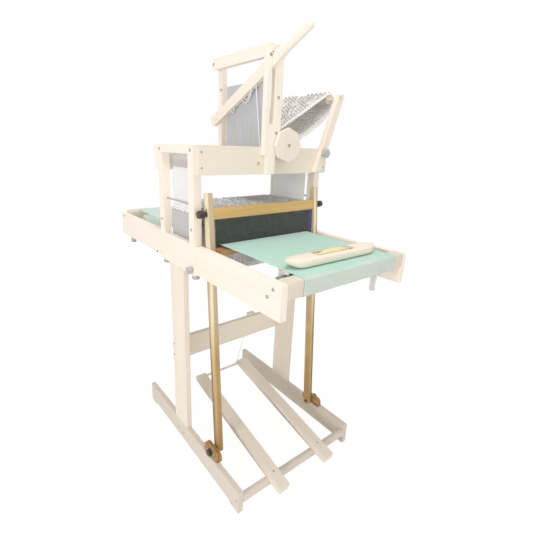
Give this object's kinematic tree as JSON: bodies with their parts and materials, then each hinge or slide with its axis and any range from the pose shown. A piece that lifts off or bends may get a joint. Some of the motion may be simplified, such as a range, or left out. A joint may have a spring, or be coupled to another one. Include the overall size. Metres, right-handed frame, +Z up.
{
  "type": "dobby loom",
  "caption": "Castle hand loom with a peg-chain dobby head, hand lever and hanging shafts, on a stand with linked treadles and a tall swinging beater.",
  "frame": {"origin": "on the floor under the middle of the bounding box", "axes": "+X to the weaver's right, +Y away from the weaver, +Z up"},
  "size_m": [0.6342, 1.1316, 1.5146],
  "materials": {
    "beech": "pale beech, clear satin lacquer",
    "beam_wood": "beech, slightly darker, satin",
    "amber_wood": "amber-coloured wood with visible grain, satin",
    "black_plastic": "black moulded plastic",
    "shaft_grey": "grey painted slats",
    "reed_steel": "dark steel",
    "grey_metal": "grey",
    "white_cord": "white braided cord",
    "green_cloth": "pale green woven cloth",
    "green_warp": "pale green warp threads",
    "chain_black": "dark grey lags and pegs",
    "yellow_yarn": "pale yellow wound yarn"
  },
  "bodies": {
    "stand": {"foot_rail_left": "beech", "foot_rail_right": "beech", "leg_left": "beech", "leg_right": "beech", "cross_beam": "beech", "front_bar": "beech", "treadle_cord": "white_cord", "castle_side_left": "beech", "castle_side_right": "beech", "castle_front_board": "beech", "castle_back_board": "beech", "side_rail_left": "beech", "side_rail_right": "beech", "breast_beam": "beam_wood", "back_beam": "beam_wood", "cloth": "green_cloth", "warp": "green_warp", "beater_bracket_left": "amber_wood", "beater_bracket_right": "amber_wood", "harness_cords_left": "white_cord", "harness_cords_right": "white_cord", "head_front_post": "beech", "head_back_post": "beech", "head_member": "beech", "hook_case": "black_plastic", "lever_cord": "white_cord", "peg_chain": "chain_black"},
    "treadles": {"treadle_left": "beech", "treadle_right": "beech", "treadle_rod": "beech"},
    "beater": {"beater_upright_left": "amber_wood", "beater_upright_right": "amber_wood", "beater_sley": "amber_wood", "reed": "reed_steel"},
    "cap": {"beater_cap": "amber_wood"},
    "cap_knob_left": {"beater_knob_left": "black_plastic"},
    "cap_knob_right": {"beater_knob_right": "black_plastic"},
    "clamp_left": {"clamp_knob_left": "black_plastic"},
    "clamp_right": {"clamp_knob_right": "black_plastic"},
    "pulleys_left": {"pulley_stack_left": "black_plastic"},
    "pulleys_right": {"pulley_stack_right": "black_plastic"},
    "lever": {"hand_lever": "beech"},
    "cylinder": {"pattern_cylinder": "beech"},
    "arms": {"chain_arm_front": "beech", "chain_arm_back": "beech"},
    "roller": {"chain_roller": "beam_wood"},
    "tension_knob": {"arm_knob": "black_plastic"},
    "cloth_beam": {"cloth_roll": "green_cloth"},
    "crank": {"cloth_crank": "grey_metal"},
    "warp_beam": {"warp_roll": "green_warp"},
    "shuttle": {"shuttle": "beech"},
    "pirn": {"pirn": "yellow_yarn"},
    "shaft_1": {"shaft_1": "shaft_grey"},
    "shaft_2": {"shaft_2": "shaft_grey"},
    "shaft_3": {"shaft_3": "shaft_grey"},
    "shaft_4": {"shaft_4": "shaft_grey"},
    "shaft_5": {"shaft_5": "shaft_grey"},
    "shaft_6": {"shaft_6": "shaft_grey"},
    "shaft_7": {"shaft_7": "shaft_grey"},
    "shaft_8": {"shaft_8": "shaft_grey"}
  },
  "joints": [
    {"name": "treadle_hinge", "type": "hinge", "parent": "stand", "child": "treadles", "pos_m": [-0.02074, -0.41825, 0.05], "axis": [1, 0, 0], "range_deg": [-13.5, 0], "stiffness_Nm_per_rad": 12, "springref_deg": 34.38, "deforming": ["treadle_cord"]},
    {"name": "lever_hinge", "type": "hinge", "parent": "stand", "child": "lever", "pos_m": [-0.03874, 0.12075, 1.282], "axis": [1, 0, 0], "range_deg": [0, 27], "deforming": ["lever_cord"]},
    {"name": "beater_swing", "type": "hinge", "parent": "stand", "child": "beater", "pos_m": [-0.02074, -0.23825, 0.105], "axis": [1, 0, 0], "range_deg": [-0.5, 8]},
    {"name": "cap_lift", "type": "slide", "parent": "beater", "child": "cap", "axis": [0, 0.075, 0.9972], "range_m": [0, 0.013]},
    {"name": "cap_knob_left_turn", "type": "hinge", "parent": "cap", "child": "cap_knob_left", "pos_m": [-0.28074, -0.17275, 0.97611], "axis": [1, 0, 0], "range_deg": [-180, 180]},
    {"name": "cap_knob_right_turn", "type": "hinge", "parent": "cap", "child": "cap_knob_right", "pos_m": [0.23926, -0.17275, 0.97611], "axis": [1, 0, 0], "range_deg": [-180, 180]},
    {"name": "clamp_left_turn", "type": "hinge", "parent": "stand", "child": "clamp_left", "pos_m": [-0.30774, -0.13325, 0.787], "axis": [1, 0, 0], "range_deg": [-180, 180]},
    {"name": "clamp_right_turn", "type": "hinge", "parent": "stand", "child": "clamp_right", "pos_m": [0.26626, -0.13325, 0.787], "axis": [1, 0, 0], "range_deg": [-180, 180]},
    {"name": "shaft_1_lift", "type": "slide", "parent": "stand", "child": "shaft_1", "axis": [0, 0, 1], "range_m": [0, 0.06], "deforming": ["harness_cords_left", "harness_cords_right"]},
    {"name": "shaft_2_lift", "type": "slide", "parent": "stand", "child": "shaft_2", "axis": [0, 0, 1], "range_m": [0, 0.06], "deforming": ["harness_cords_left", "harness_cords_right"]},
    {"name": "shaft_3_lift", "type": "slide", "parent": "stand", "child": "shaft_3", "axis": [0, 0, 1], "range_m": [0, 0.06], "deforming": ["harness_cords_left", "harness_cords_right"]},
    {"name": "shaft_4_lift", "type": "slide", "parent": "stand", "child": "shaft_4", "axis": [0, 0, 1], "range_m": [0, 0.06], "deforming": ["harness_cords_left", "harness_cords_right"]},
    {"name": "shaft_5_lift", "type": "slide", "parent": "stand", "child": "shaft_5", "axis": [0, 0, 1], "range_m": [0, 0.06], "deforming": ["harness_cords_left", "harness_cords_right"]},
    {"name": "shaft_6_lift", "type": "slide", "parent": "stand", "child": "shaft_6", "axis": [0, 0, 1], "range_m": [0, 0.06], "deforming": ["harness_cords_left", "harness_cords_right"]},
    {"name": "shaft_7_lift", "type": "slide", "parent": "stand", "child": "shaft_7", "axis": [0, 0, 1], "range_m": [0, 0.06], "deforming": ["harness_cords_left", "harness_cords_right"]},
    {"name": "shaft_8_lift", "type": "slide", "parent": "stand", "child": "shaft_8", "axis": [0, 0, 1], "range_m": [0, 0.06], "deforming": ["harness_cords_left", "harness_cords_right"]},
    {"name": "pulleys_left_turn", "type": "hinge", "parent": "stand", "child": "pulleys_left", "pos_m": [-0.23594, -0.02225, 1.128], "axis": [0, 1, 0], "continuous": true},
    {"name": "pulleys_right_turn", "type": "hinge", "parent": "stand", "child": "pulleys_right", "pos_m": [0.19446, -0.02225, 1.128], "axis": [0, 1, 0], "continuous": true},
    {"name": "cylinder_turn", "type": "hinge", "parent": "stand", "child": "cylinder", "pos_m": [0.02826, -0.02225, 1.189], "axis": [0, 1, 0], "continuous": true, "deforming": ["peg_chain"]},
    {"name": "arms_tilt", "type": "hinge", "parent": "stand", "child": "arms", "pos_m": [0.21922, -0.02225, 1.166], "axis": [0, 1, 0], "range_deg": [-6, 2], "deforming": ["peg_chain"]},
    {"name": "roller_turn", "type": "hinge", "parent": "arms", "child": "roller", "pos_m": [0.28477, -0.02225, 1.356], "axis": [0, 1, 0], "continuous": true},
    {"name": "tension_knob_turn", "type": "hinge", "parent": "stand", "child": "tension_knob", "pos_m": [0.21922, -0.20825, 1.166], "axis": [0, 1, 0], "range_deg": [-180, 180]},
    {"name": "cloth_beam_turn", "type": "hinge", "parent": "stand", "child": "cloth_beam", "pos_m": [-0.02074, -0.47725, 0.832], "axis": [1, 0, 0], "continuous": true},
    {"name": "crank_swing", "type": "hinge", "parent": "stand", "child": "crank", "pos_m": [0.21806, -0.47725, 0.832], "axis": [1, 0, 0], "range_deg": [-60, 60]},
    {"name": "warp_beam_turn", "type": "hinge", "parent": "stand", "child": "warp_beam", "pos_m": [-0.02074, 0.45575, 0.833], "axis": [1, 0, 0], "continuous": true},
    {"name": "shuttle_slide", "type": "slide", "parent": "stand", "child": "shuttle", "axis": [0.9998, -0.0175, 0], "range_m": [-0.09, 0.07]},
    {"name": "pirn_spin", "type": "hinge", "parent": "shuttle", "child": "pirn", "pos_m": [-0.02574, -0.48925, 0.8958], "axis": [0.9998, -0.0175, 0], "continuous": true}
  ],
  "couplings": [
    {"joint": "lever_hinge", "follows": "treadle_hinge", "ratio": -2},
    {"joint": "roller_turn", "follows": "cylinder_turn", "ratio": 1.9143}
  ]
}
